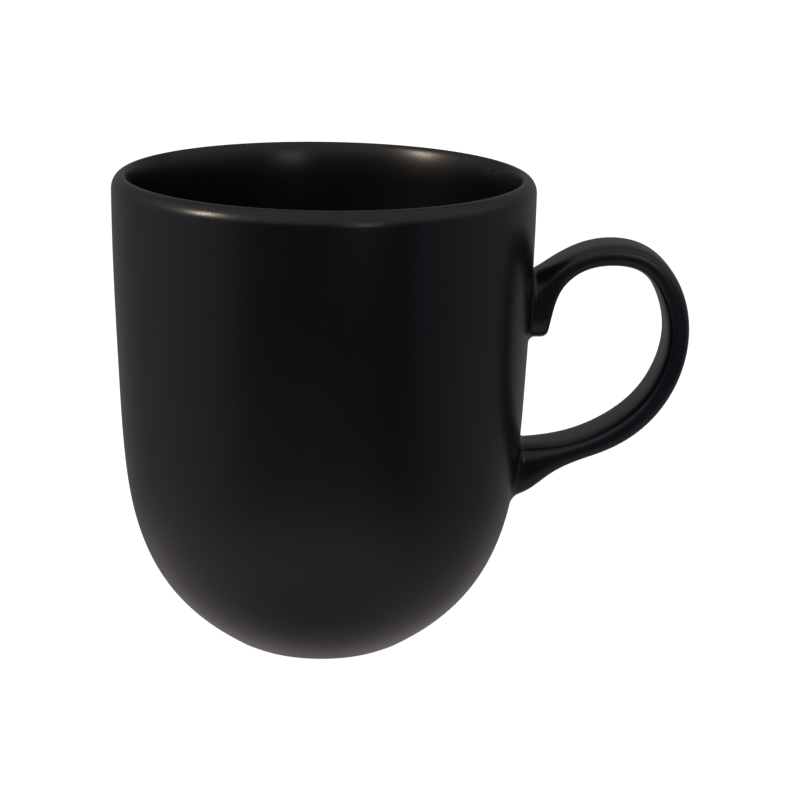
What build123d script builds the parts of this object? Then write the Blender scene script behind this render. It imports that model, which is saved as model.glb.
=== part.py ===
from build123d import *
from math import atan2, cos, sin
import os

# Stoneware mug with a looped strap handle, in millimetres.
# The cup's axis is Z, the foot ring stands on Z = 0, and the handle points along +X.

# Driving dimensions
mug_height = 100.2
rim_radius = 44.0
wall_thickness = 4.0
glaze_thickness = 0.35
slip_thickness = 0.6

# Lip: two quarter ellipses that meet at the crest of the rim
lip_outer_reach = 2.4
lip_outer_drop = 3.0
lip_inner_drop = 8.0

# Standing ring and the recess inside it
foot_outer_radius = 18.9
foot_inner_radius = 15.0
recess_height = 1.9
recess_flare = 1.0
dry_ring_radius = 20.7  # the outer coat stops here, so the standing ring stays bare

# Glazed outer wall, foot to lip, as (radius, height)
outer_wall = [
    (dry_ring_radius, 1.0),
    (26.0, 4.9),
    (34.0, 13.6),
    (39.6, 26.2),
    (42.0, 41.0),
    (42.95, 58.0),
    (43.7, 78.0),
    (rim_radius, mug_height - lip_outer_drop),
]
# Glazed inner wall, lip to the centre of the floor
inner_wall = [
    (rim_radius - wall_thickness, mug_height - lip_inner_drop),
    (39.7, 78.0),
    (38.9, 58.0),
    (37.8, 41.0),
    (35.2, 27.5),
    (29.6, 16.4),
    (20.0, 9.2),
    (0.0, 7.0),
]
up = (0, 1)
down = (0, -1)
inward = (-1, 0)
foot_rise = (0.83, 0.56)  # direction of the wall where it leaves the standing ring

# Handle: side outline of the glazed strap, as (distance from the axis, height)
strap_width = 13.0
strap_root = 40.0  # the outline starts and ends this deep in the wall
strap_reach = 78.0  # just past the strap's furthest point
strap_edge_radius = 1.8
strap_back = [
    (strap_root, 77.6),
    (48.6, 82.9),
    (53.8, 85.5),
    (60.0, 86.8),
    (68.2, 85.1),
    (74.2, 79.0),
    (77.1, 67.3),
    (75.1, 57.2),
    (68.3, 47.1),
    (60.5, 42.0),
    (53.6, 39.3),
    (48.3, 36.2),
    (44.4, 33.0),
    (strap_root, 31.0),
]
strap_inside = [
    (strap_root, 42.9),
    (52.4, 44.3),
    (59.5, 47.3),
    (66.7, 53.0),
    (70.9, 60.2),
    (72.2, 67.2),
    (70.6, 74.8),
    (66.2, 80.8),
    (60.3, 82.1),
    (53.9, 80.7),
    (49.9, 77.0),
    (48.0, 71.5),
]
back_start = (0.85, 0.53)  # directions of the outline where it enters and leaves the wall
back_end = (-0.95, -0.31)
inside_start = (1, 0.05)
inside_end = (-0.2, -1)
tab_bottom = 66.5
tab_corner = (47.0, tab_bottom)
tab_corner_radius = 1.7

# Luting slip: a thin pad under each end of the strap, squeezed out all round as a low bead
slip_margin = 0.4
slip_corner_radius = 4.5
upper_joint_span = (tab_bottom, 80.1)
lower_joint_span = (31.4, 43.3)


def moved_inward(stations, distance):
    """Stations of a (radius, height) wall moved square to the wall, to the left of its run if positive."""
    moved = []
    last = len(stations) - 1
    for index, (radius, height) in enumerate(stations):
        before = stations[max(index - 1, 0)]
        after = stations[min(index + 1, last)]
        heading = atan2(after[1] - before[1], after[0] - before[0])
        moved.append((radius - distance * sin(heading), height + distance * cos(heading)))
    return moved


# The clay faces lie one coat of glaze under the glazed ones.
clay_outer_wall = moved_inward(outer_wall, glaze_thickness)
clay_outer_wall[-1] = (rim_radius - glaze_thickness, mug_height - lip_outer_drop)
clay_inner_wall = moved_inward(inner_wall, glaze_thickness)
clay_inner_wall[0] = (rim_radius - wall_thickness + glaze_thickness, mug_height - lip_inner_drop)
clay_inner_wall[-1] = (0.0, inner_wall[-1][1] - glaze_thickness)


def wall_curve(stations, start, end):
    """A smooth wall through the stations, with its directions given at both ends."""
    return Spline(*stations, tangents=[start, end])


def lip_curves(radius, outer_reach, inner_reach, outer_drop, inner_drop, height):
    """The two quarter ellipses over the lip, from the outer wall to the inner one."""
    crest = radius - outer_reach
    EllipticalCenterArc((crest, height - outer_drop), outer_reach, outer_drop, 0, arc_size=90)
    EllipticalCenterArc((crest, height - inner_drop), inner_reach, inner_drop, 90, arc_size=90)


lip_inner_reach = wall_thickness - lip_outer_reach
clay_lip = (
    rim_radius - glaze_thickness,
    lip_outer_reach - glaze_thickness,
    lip_inner_reach - glaze_thickness,
    lip_outer_drop - glaze_thickness,
    lip_inner_drop - glaze_thickness,
    mug_height - glaze_thickness,
)
glazed_lip = (rim_radius, lip_outer_reach, lip_inner_reach, lip_outer_drop, lip_inner_drop, mug_height)

# Clay cup: wall, floor and standing ring in one turned piece
with BuildPart() as cup_body:
    with BuildSketch(Plane.XZ):
        with BuildLine():
            wall_curve(clay_outer_wall, foot_rise, up)
            lip_curves(*clay_lip)
            wall_curve(clay_inner_wall, down, inward)
            Polyline(
                clay_inner_wall[-1],
                (0, recess_height),
                (foot_inner_radius - recess_flare, recess_height),
                (foot_inner_radius, 0),
                (foot_outer_radius, 0),
                clay_outer_wall[0],
            )
        make_face()
    revolve(axis=Axis.Z)
cup_body.part.label = "cup_body"

# Outer coat: from just above the standing ring, up the wall and over the lip
with BuildPart() as outer_coat:
    with BuildSketch(Plane.XZ):
        with BuildLine():
            wall_curve(outer_wall, foot_rise, up)
            lip_curves(*glazed_lip)
            Line(inner_wall[0], clay_inner_wall[0])
            lip_curves(*clay_lip)
            wall_curve(clay_outer_wall, foot_rise, up)
            Line(clay_outer_wall[0], outer_wall[0])
        make_face()
    revolve(axis=Axis.Z)

# Liner coat: the whole inside, from the lip to the floor
with BuildPart() as inner_glaze:
    with BuildSketch(Plane.XZ):
        with BuildLine():
            wall_curve(inner_wall, down, inward)
            wall_curve(clay_inner_wall, down, inward)
            Line(inner_wall[0], clay_inner_wall[0])
            Line(inner_wall[-1], clay_inner_wall[-1])
        make_face()
    revolve(axis=Axis.Z)
inner_glaze.part.label = "inner_glaze"

# Glazed disc inside the standing ring
with BuildPart() as base_glaze:
    with BuildSketch(Plane.XY.offset(recess_height - glaze_thickness)):
        Circle(foot_inner_radius - recess_flare)
    extrude(amount=glaze_thickness)
base_glaze.part.label = "base_glaze"

# Space under the strap's ends: the clay wall thickened by the slip, solid and as a skin
slip_wall = moved_inward(clay_outer_wall, -slip_thickness)
with BuildPart() as slip_core:
    with BuildSketch(Plane.XZ):
        with BuildLine():
            wall_curve(slip_wall, foot_rise, up)
            Polyline(slip_wall[-1], (0, slip_wall[-1][1]), (0, slip_wall[0][1]), slip_wall[0])
        make_face()
    revolve(axis=Axis.Z)
with BuildPart() as slip_skin:
    with BuildSketch(Plane.XZ):
        with BuildLine():
            wall_curve(slip_wall, foot_rise, up)
            wall_curve(clay_outer_wall, foot_rise, up)
            Line(slip_wall[0], clay_outer_wall[0])
            Line(slip_wall[-1], clay_outer_wall[-1])
        make_face()
    revolve(axis=Axis.Z)

# Slip joints: a rounded pad of that skin under each end of the strap
slip_joints = {}
for joint_name, span in (("upper_slip_joint", upper_joint_span), ("lower_slip_joint", lower_joint_span)):
    with BuildPart() as slip_joint:
        with BuildSketch(Plane.YZ):
            with Locations((0, sum(span) / 2)):
                pad_height = span[1] - span[0] + 2 * slip_margin
                RectangleRounded(strap_width + 2 * slip_margin, pad_height, slip_corner_radius)
        extrude(amount=rim_radius + 2 * slip_thickness)
        add(slip_skin.part, mode=Mode.INTERSECT)
    slip_joint.part.label = joint_name
    slip_joints[joint_name] = slip_joint.part

with BuildPart() as outer_glaze:
    add(outer_coat.part)
    for joint in slip_joints.values():
        add(joint, mode=Mode.SUBTRACT)
outer_glaze.part.label = "outer_glaze"


def strap_outline(inset):
    """Side outline of the strap, closed inside the cup's wall and drawn in by the inset."""
    back = moved_inward(strap_back, -inset)
    inside = moved_inward(strap_inside, -inset)
    tab_start = (back[0][0], tab_bottom + inset)
    corner = (tab_corner[0] - inset, tab_bottom + inset)
    with BuildSketch(Plane.XZ) as outline:
        with BuildLine():
            Spline(*back, tangents=[back_start, back_end])
            Line(back[-1], inside[0])
            Spline(*inside, tangents=[inside_start, inside_end])
            FilletPolyline(inside[-1], corner, tab_start, radius=tab_corner_radius - inset)
            Line(tab_start, back[0])
        make_face()
    return outline.sketch_local


# The strap at its glazed size and at its clay size, both running on into the wall
strap_blanks = []
for inset in (0, glaze_thickness):
    with BuildPart() as strap_blank:
        with BuildSketch(Plane.XZ.offset(inset - strap_width / 2)):
            add(strap_outline(inset))
        extrude(amount=strap_width - 2 * inset)
        side_edges = faces().filter_by(Axis.Y).edges()
        outside_wall = side_edges.filter_by_position(Axis.X, strap_root + 1, strap_reach)
        fillet(outside_wall, radius=strap_edge_radius - inset)
    strap_blanks.append(strap_blank.part)
glazed_strap, clay_strap = strap_blanks

# Clay handle and its coat, both trimmed to the face of the slip
with BuildPart() as handle:
    add(clay_strap)
    add(slip_core.part, mode=Mode.SUBTRACT)
handle.part.label = "handle"

with BuildPart() as handle_glaze:
    add(glazed_strap)
    add(clay_strap, mode=Mode.SUBTRACT)
    add(slip_core.part, mode=Mode.SUBTRACT)
handle_glaze.part.label = "handle_glaze"

os.makedirs("parts", exist_ok=True)
export_step(cup_body.part, "parts/cup_body.step")
export_step(handle.part, "parts/handle.step")
export_step(outer_glaze.part, "parts/outer_glaze.step")
export_step(inner_glaze.part, "parts/inner_glaze.step")
export_step(base_glaze.part, "parts/base_glaze.step")
export_step(handle_glaze.part, "parts/handle_glaze.step")
for joint_name, joint in slip_joints.items():
    export_step(joint, f"parts/{joint_name}.step")
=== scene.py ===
import math

import bmesh
import bpy
import numpy as np
from mathutils import Matrix, Vector


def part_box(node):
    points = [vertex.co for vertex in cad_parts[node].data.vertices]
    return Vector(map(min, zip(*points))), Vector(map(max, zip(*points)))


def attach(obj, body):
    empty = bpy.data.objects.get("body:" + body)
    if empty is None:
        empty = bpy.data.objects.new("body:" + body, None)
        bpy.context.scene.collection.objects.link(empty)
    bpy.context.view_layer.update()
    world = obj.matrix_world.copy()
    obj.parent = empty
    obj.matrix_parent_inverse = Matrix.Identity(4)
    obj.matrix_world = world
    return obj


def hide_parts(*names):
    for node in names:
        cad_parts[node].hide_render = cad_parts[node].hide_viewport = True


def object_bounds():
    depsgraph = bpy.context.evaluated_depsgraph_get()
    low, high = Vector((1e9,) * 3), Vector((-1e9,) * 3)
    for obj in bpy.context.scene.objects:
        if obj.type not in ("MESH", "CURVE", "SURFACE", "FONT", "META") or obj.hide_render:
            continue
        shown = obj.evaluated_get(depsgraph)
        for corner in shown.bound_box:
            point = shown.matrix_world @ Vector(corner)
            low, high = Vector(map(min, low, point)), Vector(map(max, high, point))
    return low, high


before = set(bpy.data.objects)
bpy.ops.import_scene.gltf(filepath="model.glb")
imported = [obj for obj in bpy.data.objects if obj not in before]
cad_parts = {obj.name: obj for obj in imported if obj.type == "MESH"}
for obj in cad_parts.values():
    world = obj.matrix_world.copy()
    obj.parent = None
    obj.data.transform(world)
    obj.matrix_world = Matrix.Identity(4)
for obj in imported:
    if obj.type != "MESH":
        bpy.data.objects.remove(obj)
cad_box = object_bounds()

MM = 0.001
SHARP_ANGLE = math.radians(65)  # faces that meet at more than this keep a crisp edge

# ---------------------------------------------------------------- cup, in millimetres
MUG_HEIGHT = cad_box[1].z / MM
RIM_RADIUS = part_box("outer_glaze")[1].y / MM
WALL = 4.0
COAT = 0.35
SLIP = 0.6
SLIP_MARGIN = 0.35  # how far the slip is squeezed out round the strap's ends
SLIP_BEAD = [(1.0, 0.4), (0.7, 0.85), (0.0, 1.0)]  # the bead's outline, in shares of its margin and height
SLIP_FACE = SLIP - COAT  # height of the slip's outer face over the glazed wall
LIP_OUTER_REACH, LIP_OUTER_DROP = 2.4, 3.0
LIP_INNER_REACH, LIP_INNER_DROP = WALL - LIP_OUTER_REACH, 8.0
OUTER_WALL = [
    (20.7, 1.0),
    (26.0, 4.9),
    (34.0, 13.6),
    (39.6, 26.2),
    (42.0, 41.0),
    (42.95, 58.0),
    (43.7, 78.0),
    (RIM_RADIUS, MUG_HEIGHT - LIP_OUTER_DROP),
]
INNER_WALL = [
    (RIM_RADIUS - WALL, MUG_HEIGHT - LIP_INNER_DROP),
    (39.7, 78.0),
    (38.9, 58.0),
    (37.8, 41.0),
    (35.2, 27.5),
    (29.6, 16.4),
    (20.0, 9.2),
    (0.0, 7.0),
]
FOOT_RISE = (0.83, 0.56)
UP, DOWN, INWARD = (0, 1), (0, -1), (-1, 0)
FOOT_OUTER, FOOT_INNER = 18.9, 15.0
RECESS_RADIUS, RECESS_HEIGHT = 14.0, 1.9
FOOT_EDGE = 0.3  # radius worn onto the standing ring's edges
WOBBLE = 0.02  # swing of the fired rim's two-lobed waviness
THREE_LOBES = 0.6  # its three-lobed waviness, as a share of the two-lobed one
WOBBLE_FADE = 10.0  # inside this radius the wobble dies away
ON_AXIS = 1e-6  # a point nearer to the axis than this lies on it
TURNS = 192  # segments round the cup
OUTER_STEP, INNER_STEP = 1.2, 1.4  # spacing of the rings down the two walls
LIP_POINTS, CLAY_LIP_POINTS = 20, 12  # points on each quarter of the lip
ROLL_POINTS = 9  # points round the coat's rolled edge, its ends included

# ---------------------------------------------------------------- handle, in millimetres
STRAP_HALF_WIDTH = 6.5
STRAP_ROOT = 40.0
STRAP_BACK = [
    (STRAP_ROOT, 77.6),
    (48.6, 82.9),
    (53.8, 85.5),
    (60.0, 86.8),
    (68.2, 85.1),
    (74.2, 79.0),
    (77.1, 67.3),
    (75.1, 57.2),
    (68.3, 47.1),
    (60.5, 42.0),
    (53.6, 39.3),
    (48.3, 36.2),
    (44.4, 33.0),
    (STRAP_ROOT, 31.0),
]
BACK_START, BACK_END = (0.85, 0.53), (-0.95, -0.31)
STRAP_INSIDE = [
    (48.0, 71.5),
    (49.9, 77.0),
    (53.9, 80.7),
    (60.3, 82.1),
    (66.2, 80.8),
    (70.6, 74.8),
    (72.2, 67.2),
    (70.9, 60.2),
    (66.7, 53.0),
    (59.5, 47.3),
    (52.4, 44.3),
    (STRAP_ROOT, 42.9),
]
INSIDE_START, INSIDE_END = (0.2, 1), (-1, -0.05)
TAB_BOTTOM = 66.5
TAB_CORNER = (47.0, TAB_BOTTOM)
TAB_CORNER_RADIUS = 1.7
# Points of the inside and of the back that lie across the strap from each other
ACROSS = [
    ((47.3, 67.9), (45.6, 81.1)),
    ((48.0, 71.5), (46.9, 81.9)),
    ((49.9, 77.0), (48.9, 83.1)),
    ((53.9, 80.7), (53.1, 85.2)),
    ((60.3, 82.1), (60.3, 86.8)),
    ((66.2, 80.8), (68.6, 84.9)),
    ((70.6, 74.8), (75.2, 77.0)),
    ((72.2, 67.2), (77.1, 67.3)),
    ((70.9, 60.2), (75.6, 58.4)),
    ((66.7, 53.0), (70.6, 49.7)),
    ((59.5, 47.3), (61.8, 42.7)),
    ((52.4, 44.3), (53.9, 39.4)),
    ((47.5, 43.8), (48.3, 36.2)),
]
UPPER_FILLET, LOWER_FILLET = 1.25, 1.6
EDGE_TUCK = 0.25  # how far the fillets' edges run on under the cup's glaze
PATH_STEP = 0.25
STRAP_RINGS = 260
SECTION_POINTS = 72
FILLET_STEPS = 10
SECTION_POWER = 3.5  # roundness of the strap's section: 2 is an ellipse, more is squarer
SECTION_THICKNESS = 5.0
SECTION_SAMPLES = 2000  # fine points that the section's even ones are picked from
TAB_CORNER_POINTS = 12
FILLET_PULL = math.sqrt(0.5)  # weight of a square corner that makes its curve a circle's arc
CAP_SHARES = (0.75, 0.5, 0.25)


# ---------------------------------------------------------------- curves in a radius-height plane
def spline(stations, start, end, step):
    """Points about a step apart on the C2 cubic through the stations, with unit end directions."""
    knots = np.array(stations, float)
    chords = np.linalg.norm(np.diff(knots, axis=0), axis=1)
    count = len(knots)
    matrix = np.zeros((count, count))
    slopes = np.zeros((count, 2))
    matrix[0, 0] = matrix[-1, -1] = 1
    slopes[0] = np.array(start, float) / np.linalg.norm(start)
    slopes[-1] = np.array(end, float) / np.linalg.norm(end)
    for k in range(1, count - 1):
        before, after = chords[k - 1], chords[k]
        matrix[k, k - 1 : k + 2] = after, 2 * (before + after), before
        rise = (knots[k] - knots[k - 1]) / before * after + (knots[k + 1] - knots[k]) / after * before
        slopes[k] = 3 * rise
    slopes = np.linalg.solve(matrix, slopes)
    path = [knots[:1]]
    for k, chord in enumerate(chords):
        t = np.linspace(0, 1, max(2, round(chord / step)) + 1)[1:, None]
        held = (2 * t**3 - 3 * t**2 + 1) * knots[k] + (3 * t**2 - 2 * t**3) * knots[k + 1]
        bent = (t**3 - 2 * t**2 + t) * slopes[k] + (t**3 - t**2) * slopes[k + 1]
        path.append(held + bent * chord)
    return np.vstack(path)


def arc(centre, reach, rise, start, end, count):
    """Points on an ellipse between two angles in degrees."""
    turn = np.radians(np.linspace(start, end, count))
    return np.c_[centre[0] + reach * np.cos(turn), centre[1] + rise * np.sin(turn)]


def lengths(path):
    """Distance run along the path at each of its points."""
    return np.r_[0, np.cumsum(np.linalg.norm(np.diff(path, axis=0), axis=1))]


def moved_left(path, distance):
    """The path moved square to itself, to the left of its run."""
    run = np.gradient(path, axis=0)
    run /= np.linalg.norm(run, axis=1)[:, None]
    return path + distance * np.c_[-run[:, 1], run[:, 0]]


# ---------------------------------------------------------------- meshes
def add_mesh(name, points, faces, material):
    """A smooth-shaded mesh object from points in millimetres."""
    mesh = bpy.data.meshes.new(name)
    mesh.from_pydata([Vector(p) * MM for p in points], [], faces)
    mesh.validate()
    shaped = bmesh.new()
    shaped.from_mesh(mesh)
    bmesh.ops.recalc_face_normals(shaped, faces=shaped.faces)
    shaped.to_mesh(mesh)
    shaped.free()
    mesh.shade_smooth()
    mesh.set_sharp_from_angle(angle=SHARP_ANGLE)
    mesh.materials.append(material)
    piece = bpy.data.objects.new(name, mesh)
    bpy.context.scene.collection.objects.link(piece)
    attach(piece, "root")
    return piece


def drawn_in(turn, height):
    """How far the fired cup is drawn in from a true circle, in millimetres: a slow, slight wobble."""
    share = height / MUG_HEIGHT
    sway = math.sin(2 * turn + 0.7) + THREE_LOBES * math.sin(3 * turn - 1.1 + 2.0 * share)
    return WOBBLE * share * (1 + THREE_LOBES - sway)


def turned(name, profile, material):
    """The closed (radius, height) profile turned about the cup's axis, which it may touch."""
    turns = [2 * math.pi * k / TURNS for k in range(TURNS)]
    points, rings = [], []
    for radius, height in profile:
        if radius < ON_AXIS:
            rings.append([len(points)] * TURNS)
            points.append((0, 0, height))
            continue
        rings.append(list(range(len(points), len(points) + TURNS)))
        for turn in turns:
            reach = radius - drawn_in(turn, height) * min(1, radius / WOBBLE_FADE)
            points.append((reach * math.cos(turn), reach * math.sin(turn), height))
    faces = []
    for lower, upper in zip(rings, rings[1:] + rings[:1]):
        for k in range(TURNS):
            m = (k + 1) % TURNS
            corners = (lower[k], lower[m], upper[m], upper[k])
            loop = list(dict.fromkeys(corners))
            if len(loop) > 2:
                faces.append(loop)
    return add_mesh(name, points, faces, material)


def lip(inset, count):
    """The rim's two quarter ellipses, from outside to inside, drawn in by the inset."""
    crest = RIM_RADIUS - LIP_OUTER_REACH
    outer_centre, inner_centre = (crest, MUG_HEIGHT - LIP_OUTER_DROP), (crest, MUG_HEIGHT - LIP_INNER_DROP)
    outer = arc(outer_centre, LIP_OUTER_REACH - inset, LIP_OUTER_DROP - inset, 0, 90, count)
    inner = arc(inner_centre, LIP_INNER_REACH - inset, LIP_INNER_DROP - inset, 90, 180, count)
    return np.vstack([outer[1:], inner[1:]])


outer_line = spline(OUTER_WALL, FOOT_RISE, UP, OUTER_STEP)
inner_line = spline(INNER_WALL, DOWN, INWARD, INNER_STEP)
inner_line[-1, 0] = 0
clay_outer_line = moved_left(outer_line, COAT)
clay_inner_line = moved_left(inner_line, COAT)
clay_inner_line[-1, 0] = 0


def ring_edge():
    """The coat's rolled lower edge, from the clay round to the coat's face."""
    clay, face = clay_outer_line[0], outer_line[0]
    middle, spoke = (clay + face) / 2, (clay - face) / 2
    square = np.array([spoke[1], -spoke[0]])
    turn = np.linspace(0, math.pi, ROLL_POINTS)[1:-1, None]
    return middle + spoke * np.cos(turn) - square * np.sin(turn)


def softened(corners, radius, count=5):
    """An open path with its inner corners rounded to a radius."""
    corners = np.array(corners, float)
    path = [corners[:1]]
    for before, corner, after in zip(corners, corners[1:], corners[2:]):
        back = (before - corner) / np.linalg.norm(before - corner)
        ahead = (after - corner) / np.linalg.norm(after - corner)
        half = math.acos(np.clip(back @ ahead, -1, 1)) / 2
        reach = radius / math.tan(half)
        t = np.linspace(0, 1, count)[:, None]
        path.append(corner + back * reach * (1 - t) ** 2 + ahead * reach * t**2)
    path.append(corners[-1:])
    return np.vstack(path)


# ---------------------------------------------------------------- handle
def wall_radius(height):
    """Radius of the glazed wall at a height."""
    return np.interp(height, outer_line[:, 1], outer_line[:, 0])


def resampled(path, places):
    """Points of the path at distances along it."""
    run = lengths(path)
    return np.c_[np.interp(places, run, path[:, 0]), np.interp(places, run, path[:, 1])]


def nearest_place(path, point):
    """Distance along the path of its point nearest to this one."""
    return lengths(path)[np.argmin(np.linalg.norm(path - np.array(point), axis=1))]


def smooth_rise(places, xs, ys):
    """A monotone cubic through rising points."""
    xs, ys = np.array(xs), np.array(ys)
    slope = np.diff(ys) / np.diff(xs)
    bend = np.r_[slope[0], 2 * slope[1:] * slope[:-1] / (slope[1:] + slope[:-1]), slope[-1]]
    k = np.clip(np.searchsorted(xs, places) - 1, 0, len(xs) - 2)
    span = xs[k + 1] - xs[k]
    t = (places - xs[k]) / span
    held = (2 * t**3 - 3 * t**2 + 1) * ys[k] + (3 * t**2 - 2 * t**3) * ys[k + 1]
    return held + ((t**3 - 2 * t**2 + t) * bend[k] + (t**3 - t**2) * bend[k + 1]) * span


def strap_paths(inset):
    """The strap's inside and back in the side view, from the upper root to the lower one."""
    tab_corners = [(STRAP_ROOT, TAB_BOTTOM), TAB_CORNER, STRAP_INSIDE[0]]
    tab = softened(tab_corners, TAB_CORNER_RADIUS, TAB_CORNER_POINTS)
    tab = resampled(tab, np.arange(0, lengths(tab)[-1], PATH_STEP))
    inside = np.vstack([tab, spline(STRAP_INSIDE, INSIDE_START, INSIDE_END, PATH_STEP)])
    back = spline(STRAP_BACK, BACK_START, BACK_END, PATH_STEP)
    return moved_left(inside, inset), moved_left(back, -inset)


def around_section(count):
    """Cosine-like and sine-like coordinates round a superellipse, evenly spaced along it."""
    turn = np.linspace(0, 2 * math.pi, SECTION_SAMPLES)
    circle = np.c_[np.cos(turn), np.sin(turn)]
    half_size = (STRAP_HALF_WIDTH, SECTION_THICKNESS / 2)
    scaled = np.sign(circle) * abs(circle) ** (2 / SECTION_POWER) * half_size
    places = np.linspace(0, lengths(scaled)[-1], count + 1)[:-1]
    return resampled(scaled, places) / half_size


def strap_rings(inset):
    """Section rings of the strap from root to root, as an array of rings by points by 3."""
    inside, back = strap_paths(inset)
    pairs = [(nearest_place(inside, a), nearest_place(back, b)) for a, b in ACROSS]
    pairs = [(0, 0), *pairs, (lengths(inside)[-1], lengths(back)[-1])]
    places = np.linspace(0, pairs[-1][0], STRAP_RINGS)
    low = resampled(inside, places)
    high = resampled(back, smooth_rise(places, *zip(*pairs)))
    section = around_section(SECTION_POINTS)
    middle, half = (high + low) / 2, (high - low) / 2
    rings = np.zeros((STRAP_RINGS, SECTION_POINTS, 3))
    rings[:, :, 0] = middle[:, :1] + half[:, :1] * section[:, 1]
    rings[:, :, 1] = (STRAP_HALF_WIDTH - inset) * section[:, 0]
    rings[:, :, 2] = middle[:, 1:] + half[:, 1:] * section[:, 1]
    return rings


def on_wall(points, lift):
    """The points moved along X to a height over the glazed wall, or under it if the lift is negative."""
    moved = points.copy()
    radius = wall_radius(points[:, 2]) + lift
    moved[:, 0] = np.sqrt(radius**2 - points[:, 1] ** 2)
    return moved


def row_point(row, run, place):
    """The point of a lengthwise row of points at a distance along it."""
    return np.array([np.interp(place, run, row[:, axis]) for axis in range(3)])


def strap_between(rings, lift, clear):
    """The strap cut off at a height over the wall: its first ring, the rings clear of the ends, its last."""
    first_ring, last_ring, rows = [], [], []
    for row in np.swapaxes(rings, 0, 1):
        run = lengths(row)
        over = np.hypot(row[:, 0], row[:, 1]) - wall_radius(row[:, 2]) - lift
        under = np.flatnonzero(over < 0)
        first = under[under < len(row) // 2][-1]
        last = under[under > len(row) // 2][0]
        start = run[first] + (run[first + 1] - run[first]) * over[first] / (over[first] - over[first + 1])
        end = run[last] - (run[last] - run[last - 1]) * over[last] / (over[last] - over[last - 1])
        first_ring.append(row_point(row, run, start))
        last_ring.append(row_point(row, run, end))
        index = np.interp([start + clear[0], end - clear[1]], run, np.arange(len(row)))
        places = np.interp(np.linspace(*index, STRAP_RINGS), np.arange(len(row)), run)
        rows.append([row_point(row, run, place) for place in places])
    return np.array(first_ring), np.swapaxes(np.array(rows), 0, 1), np.array(last_ring)


def spread_out(ring, margin, lift):
    """The ring widened by a margin and laid at a height over the wall."""
    run = np.roll(ring, -1, axis=0) - np.roll(ring, 1, axis=0)
    outward = np.c_[run[:, 2], -run[:, 1]]
    outward /= np.linalg.norm(outward, axis=1)[:, None]
    if (outward * (ring[:, 1:] - ring[:, 1:].mean(axis=0))).sum() < 0:
        outward = -outward
    wider = ring.copy()
    wider[:, 1:] += margin * outward
    return on_wall(wider, lift)


def joint_rings(strap_ring, foot, fillet):
    """Rings that lead the strap down onto the wall in a round fillet and end just under the glaze."""
    edge = spread_out(foot, fillet, 0.0)
    rings = []
    for t in np.linspace(0, 1, FILLET_STEPS + 1)[1:]:
        stay, pull, run = (1 - t) ** 2, 2 * t * (1 - t) * FILLET_PULL, t**2
        rings.append((strap_ring * stay + foot * pull + edge * run) / (stay + pull + run))
    rings.append(spread_out(edge, EDGE_TUCK, -EDGE_TUCK / 2))
    return rings


def cap_rings(ring, lift):
    """Ever smaller rings that close an end along the wall."""
    middle = ring.mean(axis=0)
    return [on_wall(middle + (ring - middle) * share, lift) for share in CAP_SHARES]


def lofted(name, rings, material, cap_lifts):
    """A closed mesh through the rings, capped at both ends at heights over the wall."""
    rings = [*cap_rings(rings[0], cap_lifts[0])[::-1], *rings, *cap_rings(rings[-1], cap_lifts[1])]
    count, around = len(rings), len(rings[0])
    points = [tuple(p) for ring in rings for p in ring]
    faces = []
    for k in range(count - 1):
        for m in range(around):
            n = (m + 1) % around
            lower, upper = k * around, (k + 1) * around
            faces.append((lower + m, lower + n, upper + n, upper + m))
    for k, lift in zip((0, count - 1), cap_lifts):
        middle = np.array([rings[k].mean(axis=0)])
        points.append(tuple(on_wall(middle, lift)[0]))
        for m in range(around):
            faces.append((k * around + m, k * around + (m + 1) % around, len(points) - 1))
    return add_mesh(name, points, faces, material)


def slip_pad(name, foot):
    """The joining slip between the strap's end and the clay wall, squeezed out a little all round."""
    bead = [(SLIP_MARGIN * out, SLIP_FACE * up) for out, up in SLIP_BEAD]
    rings = [spread_out(foot, margin, lift) for margin, lift in [(SLIP_MARGIN, -COAT), *bead]]
    return lofted(name, rings, JOINT_SLIP, (-COAT, SLIP_FACE))


# ---------------------------------------------------------------- materials
def mixed(tree, share, first, second):
    """A colour between two, each of them a tuple or a socket."""
    node = tree.nodes.new("ShaderNodeMix")
    node.data_type = "RGBA"
    tree.links.new(share, node.inputs["Factor"])
    sockets = [socket for socket in node.inputs if socket.type == "RGBA"]
    for socket, colour in zip(sockets, (first, second)):
        if isinstance(colour, tuple):
            socket.default_value = (*colour, 1)
        else:
            tree.links.new(colour, socket)
    return next(socket for socket in node.outputs if socket.type == "RGBA")


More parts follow.
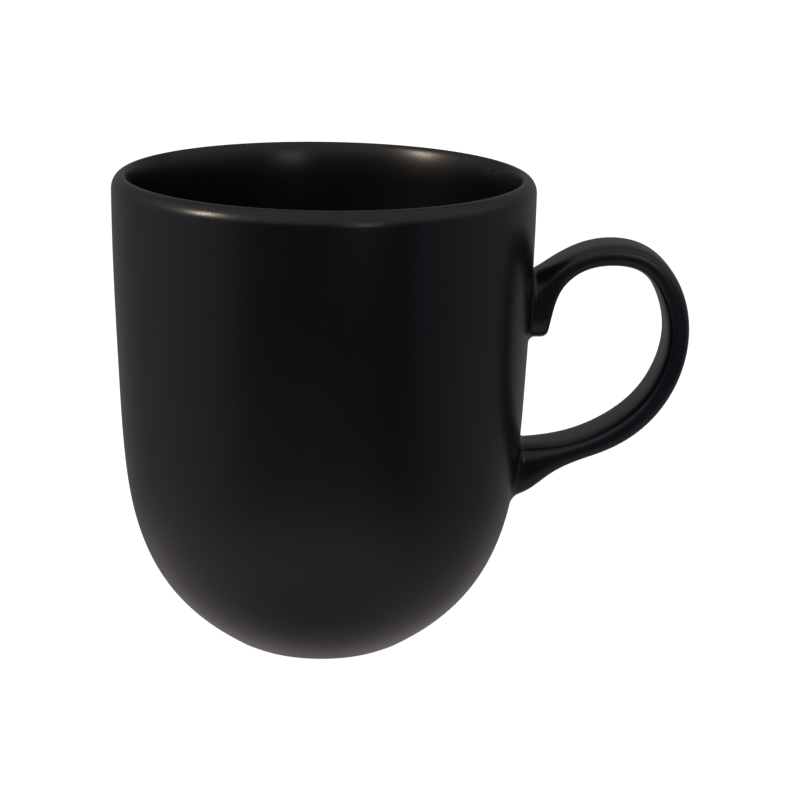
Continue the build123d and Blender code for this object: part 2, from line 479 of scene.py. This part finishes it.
class Nodes:
    """A material's node tree, with short calls for the nodes that the finishes share."""

    def __init__(self, name):
        self.material = bpy.data.materials.new(name)
        self.material.use_nodes = True
        self.tree = self.material.node_tree
        self.shader = self.tree.nodes["Principled BSDF"]
        self.place = self.tree.nodes.new("ShaderNodeTexCoord").outputs["Object"]

    def link(self, source, node, socket):
        self.tree.links.new(source, node.inputs[socket])

    def noise(self, grain_mm, detail=2.0, roughness=0.5):
        """Noise whose features are about grain_mm across."""
        noise = self.tree.nodes.new("ShaderNodeTexNoise")
        noise.inputs["Scale"].default_value = 1 / (grain_mm * MM)
        noise.inputs["Detail"].default_value = detail
        noise.inputs["Roughness"].default_value = roughness
        self.link(self.place, noise, "Vector")
        return noise.outputs["Fac"]

    def spread(self, value, low, high, start=0.3, end=0.7):
        """The value between start and end, spread from low to high."""
        ramp = self.tree.nodes.new("ShaderNodeMapRange")
        self.link(value, ramp, "Value")
        for socket, number in zip(("From Min", "From Max", "To Min", "To Max"), (start, end, low, high)):
            ramp.inputs[socket].default_value = number
        return ramp.outputs["Result"]

    def painted_reflection_share(self):
        """Where the handle's painted reflection lies: 0 on the cup and 1 on the handle, with a soft change
        just outside the wall.
        """
        split = self.tree.nodes.new("ShaderNodeSeparateXYZ")
        self.link(self.place, split, "Vector")
        return self.spread(split.outputs["X"], 0, 1, PAINTED_REFLECTION_START * MM, PAINTED_REFLECTION_FULL * MM)

    def added(self, first, second):
        node = self.tree.nodes.new("ShaderNodeMath")
        node.operation = "ADD"
        self.link(first, node, 0)
        self.link(second, node, 1)
        return node.outputs["Value"]

    def blend(self, share, first, second):
        return mixed(self.tree, share, first, second)

    def bump(self, height, depth_mm, before=None):
        """A normal roughened by the height, on top of the one before it if there is one."""
        node = self.tree.nodes.new("ShaderNodeBump")
        node.inputs["Distance"].default_value = depth_mm * MM
        self.link(height, node, "Height")
        if before:
            self.link(before, node, "Normal")
        return node.outputs["Normal"]


GLAZE_DARK = (0.0030, 0.0027, 0.0029)
GLAZE_WARM = (0.0046, 0.0038, 0.0038)
# painted reflection: a bluer, lighter base colour on the handle stands in for the bluish light that its
# glaze reflects
HANDLE_PAINTED_REFLECTION = (0.0076, 0.0070, 0.0128)
PAINTED_REFLECTION_START, PAINTED_REFLECTION_FULL = 44.0, 52.0  # where the handle's painted reflection begins and where it is full, in millimetres from the axis, along X


def black_glaze():
    """Satin black with slow clouds, a faint orange peel and a fine grain, and a painted reflection that
    makes the handle's colour bluer and lighter.
    """
    nodes = Nodes("black_glaze")
    grain = nodes.noise(grain_mm=0.30, detail=3.0, roughness=0.6)
    peel = nodes.noise(grain_mm=2.2)
    cloud = nodes.noise(grain_mm=28.0, detail=3.0)
    tone_and_painted_reflection = nodes.blend(nodes.spread(cloud, 0, 1), GLAZE_DARK, GLAZE_WARM)
    # painted reflection: the handle's glaze colour is made bluer and lighter
    tone_and_painted_reflection = nodes.blend(nodes.painted_reflection_share(), tone_and_painted_reflection, HANDLE_PAINTED_REFLECTION)
    nodes.link(tone_and_painted_reflection, nodes.shader, "Base Color")
    gloss = nodes.added(nodes.spread(grain, -0.02, 0.02), nodes.spread(cloud, 0.27, 0.30))
    nodes.link(gloss, nodes.shader, "Roughness")
    relief = nodes.bump(peel, depth_mm=0.010)
    relief = nodes.bump(grain, depth_mm=0.005, before=relief)
    nodes.link(relief, nodes.shader, "Normal")
    nodes.shader.inputs["IOR"].default_value = 1.5
    return nodes.material


def fired_clay(name, light, dark, speck):
    """Dry clay: mottled between two colours, with fine grit and dark specks."""
    nodes = Nodes(name)
    body = nodes.noise(grain_mm=6.0, detail=4.0, roughness=0.6)
    grit = nodes.noise(grain_mm=0.45, roughness=0.7)
    colour = nodes.blend(nodes.spread(body, 0, 1), dark, light)
    colour = nodes.blend(nodes.spread(grit, 0, 1, start=0.66, end=0.72), colour, speck)
    nodes.link(colour, nodes.shader, "Base Color")
    nodes.link(nodes.spread(grit, 0.72, 0.92), nodes.shader, "Roughness")
    relief = nodes.bump(body, depth_mm=0.03)
    relief = nodes.bump(grit, depth_mm=0.03, before=relief)
    nodes.link(relief, nodes.shader, "Normal")
    return nodes.material


GLAZE = black_glaze()
CLAY = fired_clay("bare_clay", (0.42, 0.35, 0.28), (0.33, 0.27, 0.22), (0.12, 0.09, 0.07))
JOINT_SLIP = fired_clay("joint_slip", (0.40, 0.34, 0.28), (0.32, 0.27, 0.22), (0.2, 0.16, 0.13))

# ---------------------------------------------------------------- the pieces
glazed_lip, clay_lip = lip(0, LIP_POINTS), lip(COAT, CLAY_LIP_POINTS)
coat_line = np.vstack([ring_edge(), outer_line, glazed_lip, clay_lip[::-1], clay_outer_line[::-1]])
outer_coat = turned("outer_coat", coat_line, GLAZE)
liner_coat = turned("liner_coat", np.vstack([inner_line, clay_inner_line[::-1]]), GLAZE)
foot_corners = [
    (0, RECESS_HEIGHT),
    (RECESS_RADIUS, RECESS_HEIGHT),
    (FOOT_INNER, 0),
    (FOOT_OUTER, 0),
    clay_outer_line[0],
]
foot_line = softened(foot_corners, FOOT_EDGE)
clay_line = np.vstack([clay_outer_line, clay_lip, clay_inner_line[1:], foot_line[:-1]])
clay_cup = turned("clay_cup", clay_line, CLAY)
base_corners = [
    (0, RECESS_HEIGHT - COAT),
    (RECESS_RADIUS - COAT, RECESS_HEIGHT - COAT),
    (RECESS_RADIUS, RECESS_HEIGHT),
]
base_line = softened(base_corners, COAT / 2)
base_coat = turned("base_coat", np.vstack([base_line, [(0, RECESS_HEIGHT)]]), GLAZE)
upper_foot, strap, lower_foot = strap_between(strap_rings(0.0), 0.0, (UPPER_FILLET, LOWER_FILLET))
upper_joint = joint_rings(strap[0], upper_foot, UPPER_FILLET)
lower_joint = joint_rings(strap[-1], lower_foot, LOWER_FILLET)
coat_rings = [*upper_joint[::-1], *strap, *lower_joint]
handle_coat = lofted("handle_coat", coat_rings, GLAZE, (-EDGE_TUCK, -EDGE_TUCK))
upper_end, clay_strap, lower_end = strap_between(strap_rings(COAT), SLIP_FACE, (PATH_STEP, PATH_STEP))
clay_handle = lofted("clay_handle", [upper_end, *clay_strap, lower_end], CLAY, (SLIP_FACE, SLIP_FACE))
upper_slip = slip_pad("upper_slip", upper_foot)
lower_slip = slip_pad("lower_slip", lower_foot)

for piece, node, slot in (
    (outer_coat, "outer_glaze", "black_glaze"),
    (liner_coat, "inner_glaze", "black_glaze"),
    (base_coat, "base_glaze", "black_glaze"),
    (handle_coat, "handle_glaze", "black_glaze"),
    (clay_cup, "cup_body", "bare_clay"),
    (clay_handle, "handle", "bare_clay"),
    (upper_slip, "upper_slip_joint", "joint_slip"),
    (lower_slip, "lower_slip_joint", "joint_slip"),
):
    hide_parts(node)

# ---------------------------------------------------------------- camera
CAMERA_DISTANCE = 0.450
CAMERA_HEIGHT = 0.1776
PITCH, YAW, ROLL = (math.radians(a) for a in (15.63, 2.10, 1.13))
LENS, SENSOR = 98.7, 36.0
ahead = Vector((math.sin(YAW) * math.cos(PITCH), math.cos(YAW) * math.cos(PITCH), -math.sin(PITCH)))
level = Vector((math.cos(YAW), -math.sin(YAW), 0))
rise = level.cross(ahead)
across = level * math.cos(ROLL) + rise * math.sin(ROLL)
above = rise * math.cos(ROLL) - level * math.sin(ROLL)
camera_data = bpy.data.cameras.new("camera")
camera_data.lens, camera_data.sensor_width = LENS, SENSOR
camera = bpy.data.objects.new("camera", camera_data)
camera_turn = Matrix((across, above, -ahead)).transposed().to_4x4()
camera.matrix_world = Matrix.Translation((0, -CAMERA_DISTANCE, CAMERA_HEIGHT)) @ camera_turn
bpy.context.scene.collection.objects.link(camera)
bpy.context.scene.camera = camera


# ---------------------------------------------------------------- light, in metres
MUG_MIDDLE = 0.055


def soft_light(name, azimuth, elevation, distance, size, power, colour):
    """An area light aimed at the mug's middle. Azimuth is from +X towards +Y."""
    centre = Vector((0, 0, MUG_MIDDLE))
    turn, lift = math.radians(azimuth), math.radians(elevation)
    spoke = Vector((math.cos(turn) * math.cos(lift), math.sin(turn) * math.cos(lift), math.sin(lift)))
    data = bpy.data.lights.new(name, "AREA")
    data.shape = "RECTANGLE"
    data.size, data.size_y = size
    data.energy, data.color = power, colour
    light = bpy.data.objects.new(name, data)
    light.location = centre + spoke * distance
    light.rotation_mode = "QUATERNION"
    light.rotation_quaternion = spoke.to_track_quat("Z", "Y")
    light.visible_camera = False
    bpy.context.scene.collection.objects.link(light)


# ---------------------------------------------------------------- floor, in metres
FLOOR_HEIGHT = -0.2 * MM  # just under the standing ring, so the two faces don't share a plane
STAGE_RADIUS, COVE_RADIUS, STAGE_WALL = 6.0, 1.5, 4.0
STAGE_TURNS, COVE_STEPS = 96, 13
FLOOR_GREY, FLOOR_ROUGHNESS, FLOOR_GLOW = 0.35, 0.9, 0.97


def pale_floor():
    """A round floor that curves up into a wall, far from the mug. It glows evenly, and lights nothing."""
    cove = arc((STAGE_RADIUS - COVE_RADIUS, COVE_RADIUS), COVE_RADIUS, COVE_RADIUS, -90, 0, COVE_STEPS)
    points, faces = [], [list(range(STAGE_TURNS))]
    for ring, (radius, height) in enumerate([*cove, (STAGE_RADIUS, STAGE_WALL)]):
        for k in range(STAGE_TURNS):
            turn = 2 * math.pi * k / STAGE_TURNS
            points.append((radius * math.cos(turn), radius * math.sin(turn), height + FLOOR_HEIGHT))
            if ring > 0:
                here, beside = ring * STAGE_TURNS + k, ring * STAGE_TURNS + (k + 1) % STAGE_TURNS
                faces.append((here - STAGE_TURNS, beside - STAGE_TURNS, beside, here))
    mesh = bpy.data.meshes.new("floor")
    mesh.from_pydata(points, [], faces)
    floor = bpy.data.objects.new("floor", mesh)
    bpy.context.scene.collection.objects.link(floor)
    nodes = Nodes("pale_floor")
    nodes.shader.inputs["Base Color"].default_value = (FLOOR_GREY, FLOOR_GREY, FLOOR_GREY, 1)
    nodes.shader.inputs["Roughness"].default_value = FLOOR_ROUGHNESS
    nodes.shader.inputs["Emission Color"].default_value = (1, 1, 1, 1)
    nodes.shader.inputs["Emission Strength"].default_value = FLOOR_GLOW
    mesh.materials.append(nodes.material)
    floor.visible_glossy = False
    floor.visible_diffuse = False
    floor.visible_shadow = False
    return floor


# ---------------------------------------------------------------- surroundings
FRONT_COLOUR = (0.032, 0.025, 0.028)
DARK_CORNER = (0.010, 0.010, 0.014)
LEFT_COLOUR = (0.26, 0.28, 0.34)
RIGHT_COLOUR = (0.20, 0.20, 0.20)
CEILING_COLOUR = (0.53, 0.51, 0.54)
BACK_COLOUR = (0.20, 0.19, 0.18)
TABLE_COLOUR = (0.40, 0.36, 0.37)
TABLE_SHADE = (0.24, 0.22, 0.225)
# Broad patches, each laid over those before it. Along an axis of the unit direction, from -1 to 1, a patch
# begins at the first number and is full at the second.
ROOM_PATCHES = [
    ("X", 0.0, 0.45, DARK_CORNER),
    ("X", -0.5, -0.98, LEFT_COLOUR),
    ("X", 0.70, 0.99, RIGHT_COLOUR),
    ("Z", 0.06, 0.40, CEILING_COLOUR),
    ("Y", 0.0, 0.7, BACK_COLOUR),
]
TABLE_PATCHES = [("X", 0.2, 0.9, TABLE_SHADE)]


def studio_world():
    """Soft surroundings: a lit table below, a dim room in front of the mug and brighter walls beside it."""
    world = bpy.data.worlds.new("studio")
    world.use_nodes = True
    tree = world.node_tree
    split = tree.nodes.new("ShaderNodeSeparateXYZ")
    tree.links.new(tree.nodes.new("ShaderNodeTexCoord").outputs["Generated"], split.inputs["Vector"])

    def laid_over(colour, patches):
        """The colour with the patches over it, each with a smooth change at its edge."""
        for axis, start, end, patch in patches:
            ramp = tree.nodes.new("ShaderNodeMapRange")
            ramp.interpolation_type = "SMOOTHSTEP"
            ramp.inputs["From Min"].default_value = start
            ramp.inputs["From Max"].default_value = end
            tree.links.new(split.outputs[axis], ramp.inputs["Value"])
            colour = mixed(tree, ramp.outputs["Result"], colour, patch)
        return colour

    room = laid_over(FRONT_COLOUR, ROOM_PATCHES)
    table = laid_over(TABLE_COLOUR, TABLE_PATCHES)
    room = laid_over(room, [("Z", -0.36, -0.56, table), ("Z", -0.75, -1.0, TABLE_SHADE)])
    tree.links.new(room, tree.nodes["Background"].inputs["Color"])
    return world


pale_floor()
bpy.context.scene.world = studio_world()
bpy.context.scene.view_settings.view_transform = "Standard"

WARM, PALE, COOL = (1.0, 0.84, 0.66), (1.0, 0.94, 0.86), (0.35, 0.55, 1.0)
soft_light("key", azimuth=-156, elevation=27, distance=0.5, size=(0.05, 0.12), power=0.85, colour=WARM)
soft_light("window", azimuth=-69, elevation=10, distance=0.9, size=(0.16, 0.26), power=0.34, colour=PALE)
soft_light("screen", azimuth=-37, elevation=-3, distance=1.0, size=(0.14, 0.60), power=0.06, colour=COOL)
